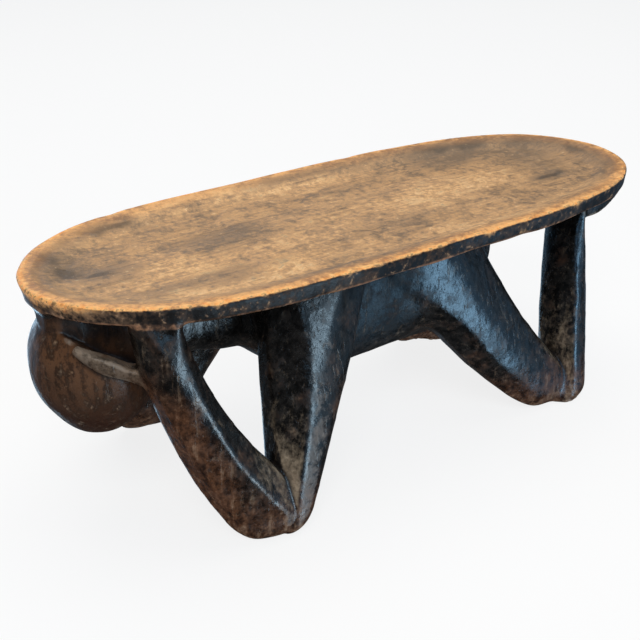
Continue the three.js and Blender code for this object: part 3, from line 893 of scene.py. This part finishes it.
# painted light and shade on the head: near black on the faces turned down, lighter brown on those turned up, and its
# lighter streaks follow the same rule
ball_col = mix(ramp(NZ, -0.62, 0.30), (0.020, 0.0048, 0.0015), (0.128, 0.058, 0.026))
ball_col = mix(ramp(total((mottle_b, 1.3), (speck_b, 1.0), (stroke, 1.0), (stroke_c, 1.0)), -0.16, 0.16, 0.0, 0.88), ball_col, (0.012, 0.0062, 0.0032))
ball_col = mix(ramp(total((stroke_b, 1.2), (speck_b, 0.9)), 0.12, 0.34, 0.0, 0.50), ball_col, mix(ramp(NZ, -0.6, 0.2), (0.095, 0.038, 0.015), (0.205, 0.105, 0.050)))
body = mix(mul(attr("ball"), 0.74), body, ball_col)
# painted glints: light brown spots on the head
painted_glint = mul(attr("ball"), ramp(total((mottle_b, 1.2), (speck_b, 1.0)), 0.14, 0.34))
body = mix(mul(painted_glint, 0.34), body, (0.26, 0.165, 0.095))
tan_f = ramp(math_("ADD", attr("tan"), total((mottle_b, 0.9), (speck_b, 0.8), (stroke, 1.5))), 0.08, 1.15)
body = mix(mul(tan_f, 0.86), body, mix(speck_b, (0.11, 0.076, 0.048), (0.40, 0.31, 0.215)))
# painted highlight: pale grey on the high facets that face straight out across the tray
pale_highlight = ramp(math_("ADD", attr("pale"), total((mottle_b, 1.4), (speck_b, 1.2))), 0.62, 1.10)
body = mix(mul(pale_highlight, 0.42), body, (0.19, 0.165, 0.145))
rub = ramp(math_("ADD", attr("edge"), total((mottle, 1.0), (mottle_b, 1.3), (stroke, 0.7))), 0.62, 1.12)
body = mix(mul(rub, 0.58), body, mix(speck_b, (0.15, 0.115, 0.085), (0.44, 0.36, 0.285)))
# the hands: painted light and shade, light tan on the faces turned up and dark brown on the faces turned down
body = mix(mul(attr("hand"), ramp(total((mottle_b, 1.2), (speck_b, 1.0)), -0.30, 0.20, 0.20, 0.80)), body, mix(ramp(NZ, -0.25, 0.45), (0.070, 0.042, 0.024), (0.245, 0.180, 0.128)))
body = mix(mul(attr("hollow"), 0.80), body, (0.005, 0.004, 0.004))
# painted shadow: near black high up under the tray, where the wood round a point is thick
body = mix(mul(ramp(Z, 0.130, 0.158), mul(attr("painted_shade_under_tray"), 0.75)), body, (0.006, 0.005, 0.005))
body = mix(ramp(speck, 0.64, 0.76, 0.0, 0.20), body, (0.22, 0.15, 0.10))
# the side of the rim: black, browner to the head end, speckled, with a rubbed line below
band = mul(ramp(Z, 0.1580, 0.1598), ramp(NZ, -0.80, -0.35))
to_head = ramp(X, -0.196, -0.238)
band_col = mix(ramp(total((mottle, 1.0), (mottle_b, 1.2), (speck_b, 0.9)), -0.10, 0.26, 0.0, 0.9), (0.0065, 0.0055, 0.0052),
               (0.052, 0.029, 0.018))
band_col = mix(mul(to_head, ramp(total((mottle_b, 1.2), (speck_b, 1.2), (mottle, 0.8)), -0.22, 0.25)), band_col,
               (0.155, 0.083, 0.040))
band_col = mix(ramp(total((speck_b, 1.5), (mottle_b, 0.9), (speck, 0.5)), 0.16, 0.36, 0.0, 0.75), band_col, (0.29, 0.175, 0.095))
body = mix(band, body, band_col)
lip = mul(ramp(Z, 0.1630, 0.1612), ramp(Z, 0.1586, 0.1598))
lip = mul(lip, ramp(total((mottle, 1.4), (speck_b, 0.8)), -0.16, 0.16, 0.15, 1.0))
body = mix(mul(lip, ramp(NZ, -0.96, -0.6, 0.0, 0.85)), body, mix(speck_b, (0.10, 0.036, 0.018), (0.42, 0.21, 0.105)))

wrap_down = mul(mul(ramp(X, -0.224, -0.245), ramp(math_("ADD", mul(Z, 100.0), total((mottle_b, 1.5), (mottle, 1.0))), 16.35, 17.0)), 1.0)
over_edge = ramp(math_("ADD", RIM, mul(total((mottle_b, 0.8), (speck_b, 1.0)), 1.3)), 0.30, 0.95)
is_top = mul(most(over_edge, wrap_down), ramp(Z, 0.1600, 0.1635))
is_top = mul(is_top, ramp(NZ, -0.45, -0.15))
colour = mix(is_top, body, top_col)

rough_fig = ramp(total((mottle_b, 1.0), (speck_b, 0.8)), -0.25, 0.25, 0.13, 0.25, smooth=False)
rough_fig = math_("ADD", rough_fig, mul(attr("warm"), 0.14))
rough_fig = math_("ADD", rough_fig, mul(attr("ball"), 0.12))
patchy = ramp(total((mottle, 1.0), (mottle_b, 0.7), (clouds, 0.5)), -0.04, 0.14)
rough_fig = math_("ADD", rough_fig, mul(patchy, 0.17))
flank = mul(ramp(X, -0.080, -0.050), ramp(X, 0.022, -0.012))
rough_fig = math_("ADD", rough_fig, mul(flank, 0.34))
rough_fig = math_("ADD", rough_fig, mul(rub, 0.15))
rough_fig = math_("ADD", rough_fig, mul(band, 0.28))
rough_top = ramp(tone, -0.3, 0.3, 0.50, 0.70, smooth=False)
rmix = node("ShaderNodeMix", data_type="FLOAT")
put(rmix.inputs[0], is_top)
put(rmix.inputs[2], rough_fig)
put(rmix.inputs[3], rough_top)

# relief: fibres and scratches on the tray, small cuts and a rough skin on the figure
cell_d, _ = cells(scaled(coord, (1, 1, 0.7)), 150)
fig_h = math_("ADD", mul(mul(cell_d, cell_d), 0.35), total((mottle_b, 0.30), (speck_b, 0.34), (speck, 0.16)))
fig_h = math_("ADD", fig_h, mul(scratch, -0.16))
top_h = total((grain, 0.6), (fibre, 0.6), (mottle_b, 0.7), (speck_b, 0.6), (speck, 0.3))
top_h = math_("ADD", top_h, mul(cuts_dark, -0.40))
hmix = node("ShaderNodeMix", data_type="FLOAT")
put(hmix.inputs[0], is_top)
put(hmix.inputs[2], fig_h)
put(hmix.inputs[3], top_h)
bump = node("ShaderNodeBump")
put(bump.inputs["Strength"], 0.65)
put(bump.inputs["Distance"], 0.0010)
put(bump.inputs["Height"], hmix.outputs[0])

bsdf = node("ShaderNodeBsdfPrincipled")
put(bsdf.inputs["Base Color"], colour)
put(bsdf.inputs["Roughness"], rmix.outputs[0])
put(bsdf.inputs["Normal"], bump.outputs["Normal"])
put(bsdf.inputs["Specular Tint"], mix(ramp(X, -0.075, -0.045), (1.0, 0.97, 0.94), (0.66, 0.86, 1.0)))
bsdf.inputs["IOR"].default_value = 1.55
out = node("ShaderNodeOutputMaterial")
nt.links.new(bsdf.outputs[0], out.inputs[0])
fine.materials.clear()
fine.materials.append(wood)

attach(block, "root")
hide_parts("carved_tray_bearer")

# ---------------------------------------------------------------- floor, camera, light
fm = bpy.data.meshes.new("floor")
S = 9.0
fm.from_pydata([(-S, -S, 0), (S, -S, 0), (S, S, 0), (-S, S, 0)], [], [(0, 1, 2, 3)])
floor = bpy.data.objects.new("floor", fm)
bpy.context.scene.collection.objects.link(floor)
pale = bpy.data.materials.new("pale_floor")
pale.use_nodes = True
pb = pale.node_tree.nodes["Principled BSDF"]
pb.inputs["Base Color"].default_value = (0.14, 0.14, 0.14, 1)
pb.inputs["Roughness"].default_value = 0.9
pb.inputs["Specular IOR Level"].default_value = 0.0
pb.inputs["Emission Color"].default_value = (1, 1, 1, 1)
pb.inputs["Emission Strength"].default_value = 0.83
fm.materials.append(pale)
floor.visible_glossy = False

# a pale dome behind it all, for the camera only, so that a low view sees no edge
rows, cols = 16, 48
dome_verts = [(8.6 * math.cos(b) * math.cos(a), 8.6 * math.cos(b) * math.sin(a), 8.6 * math.sin(b) - 0.05)
              for b in np.linspace(0, math.pi / 2 - 0.01, rows) for a in np.arange(cols) * 2 * math.pi / cols]
dome_faces = [(i * cols + j, i * cols + (j + 1) % cols, (i + 1) * cols + (j + 1) % cols, (i + 1) * cols + j)
              for i in range(rows - 1) for j in range(cols)] + [tuple((rows - 1) * cols + j for j in range(cols))]
dm = bpy.data.meshes.new("dome")
dm.from_pydata(dome_verts, [], dome_faces)
dome = bpy.data.objects.new("dome", dm)
bpy.context.scene.collection.objects.link(dome)
pale_dome = bpy.data.materials.new("pale_dome")
pale_dome.use_nodes = True
pd = pale_dome.node_tree.nodes["Principled BSDF"]
pd.inputs["Base Color"].default_value = (0, 0, 0, 1)
pd.inputs["Specular IOR Level"].default_value = 0.0
pd.inputs["Emission Color"].default_value = (1, 1, 1, 1)
pd.inputs["Emission Strength"].default_value = 0.88
dm.materials.append(pale_dome)
for kind in ("diffuse", "glossy", "transmission", "volume_scatter", "shadow"):
    setattr(dome, "visible_" + kind, False)


def camera_axes(az, el, roll):
    a, e = math.radians(az), math.radians(el)
    back = np.array([math.sin(a) * math.cos(e), -math.cos(a) * math.cos(e), math.sin(e)])
    fwd = -back
    r = np.cross(fwd, [0, 0, 1.0])
    r /= np.linalg.norm(r)
    u = np.cross(r, fwd)
    c, s = math.cos(math.radians(roll)), math.sin(math.radians(roll))
    return c * r + s * u, -s * r + c * u, fwd


right, up, fwd = camera_axes(-37.740, 25.460, 0.480)
place = -(0.85874 * fwd + 0.02617 * right - 0.07392 * up)
cam_data = bpy.data.cameras.new("camera")
cam_data.sensor_fit = "HORIZONTAL"
cam_data.sensor_width = 36.0
cam_data.lens = 36.0 * 620.85 / 355.0
cam_data.clip_start, cam_data.clip_end = 0.01, 100
cam = bpy.data.objects.new("camera", cam_data)
bpy.context.scene.collection.objects.link(cam)
from mathutils import Matrix, Vector
m = Matrix.Identity(4)
for i in range(3):
    m[i][0], m[i][1], m[i][2], m[i][3] = right[i], up[i], -fwd[i], place[i]
cam.matrix_world = m
bpy.context.scene.camera = cam


def softbox(name, at, aim, size, power, colour=(1, 1, 1)):
    d = bpy.data.lights.new(name, "AREA")
    d.shape = "RECTANGLE"
    d.size, d.size_y = size
    d.energy = power
    d.color = colour
    o = bpy.data.objects.new(name, d)
    bpy.context.scene.collection.objects.link(o)
    o.location = at
    o.rotation_euler = (Vector(aim) - Vector(at)).to_track_quat("-Z", "Y").to_euler()
    return o


key = softbox("key", (-1.3, -1.5, 1.9), (0, 0, 0.08), (1.1, 0.9), 34, (1.0, 0.98, 0.96))
key.visible_glossy = False
over = softbox("overhead", (0.2, 0.3, 2.3), (0, 0, 0.1), (2.2, 2.2), 44, (1.0, 0.98, 0.95))
over.visible_glossy = False

# the studio round the object: dim walls, and tall cool windows that the polished
# facets mirror
world = bpy.data.worlds.new("studio")
world.use_nodes = True
nt = world.node_tree
nt.nodes.clear()
way = node("ShaderNodeTexCoord").outputs["Generated"]


def dot(v, axis):
    n = node("ShaderNodeVectorMath", operation="DOT_PRODUCT")
    put(n.inputs[0], v)
    put(n.inputs[1], axis)
    return n.outputs["Value"]


def window(az, el, half_w, half_h, strength):
    """A soft upright patch of light; az turns from -Y towards +X, degrees."""
    a, e = math.radians(az), math.radians(el)
    c = (math.sin(a) * math.cos(e), -math.cos(a) * math.cos(e), math.sin(e))
    side_v = (math.cos(a), math.sin(a), 0.0)
    up_v = (-math.sin(a) * math.sin(e), math.cos(a) * math.sin(e), math.cos(e))
    u = mul(dot(way, side_v), 1.0 / math.sin(math.radians(half_w)))
    v = mul(dot(way, up_v), 1.0 / math.sin(math.radians(half_h)))
    r = math_("SQRT", math_("ADD", mul(u, u), mul(v, v)))
    return mul(mul(ramp(r, 1.25, 0.65), math_("GREATER_THAN", dot(way, c), 0.0)), strength)


def backdrop(colour, strength):
    n = node("ShaderNodeBackground")
    put(n.inputs["Color"], colour)
    put(n.inputs["Strength"], strength)
    return n.outputs[0]


def both(a, b):
    n = node("ShaderNodeAddShader")
    nt.links.new(a, n.inputs[0])
    nt.links.new(b, n.inputs[1])
    return n.outputs[0]


panes = most(window(20, -8, 6.5, 33, 7.5), window(172, -8, 7.0, 33, 3.2))
halo = most(window(22, -4, 13, 37, 2.2), window(30, 3, 40, 38, 0.66), window(176, -4, 14, 37, 1.2),
            window(176, 0, 32, 44, 0.6), window(104, 0, 10, 30, 0.4),
            window(-20, 29, 11, 8, 2.0))
walls = both(backdrop((0.62, 0.84, 1.0, 1.0), panes), backdrop((0.38, 0.68, 1.0, 1.0), halo))
walls = both(walls, backdrop((0.92, 0.96, 1.0, 1.0), 0.04))
wo = node("ShaderNodeOutputWorld")
nt.links.new(walls, wo.inputs[0])
bpy.context.scene.world = world
bpy.context.scene.view_settings.view_transform = "Standard"
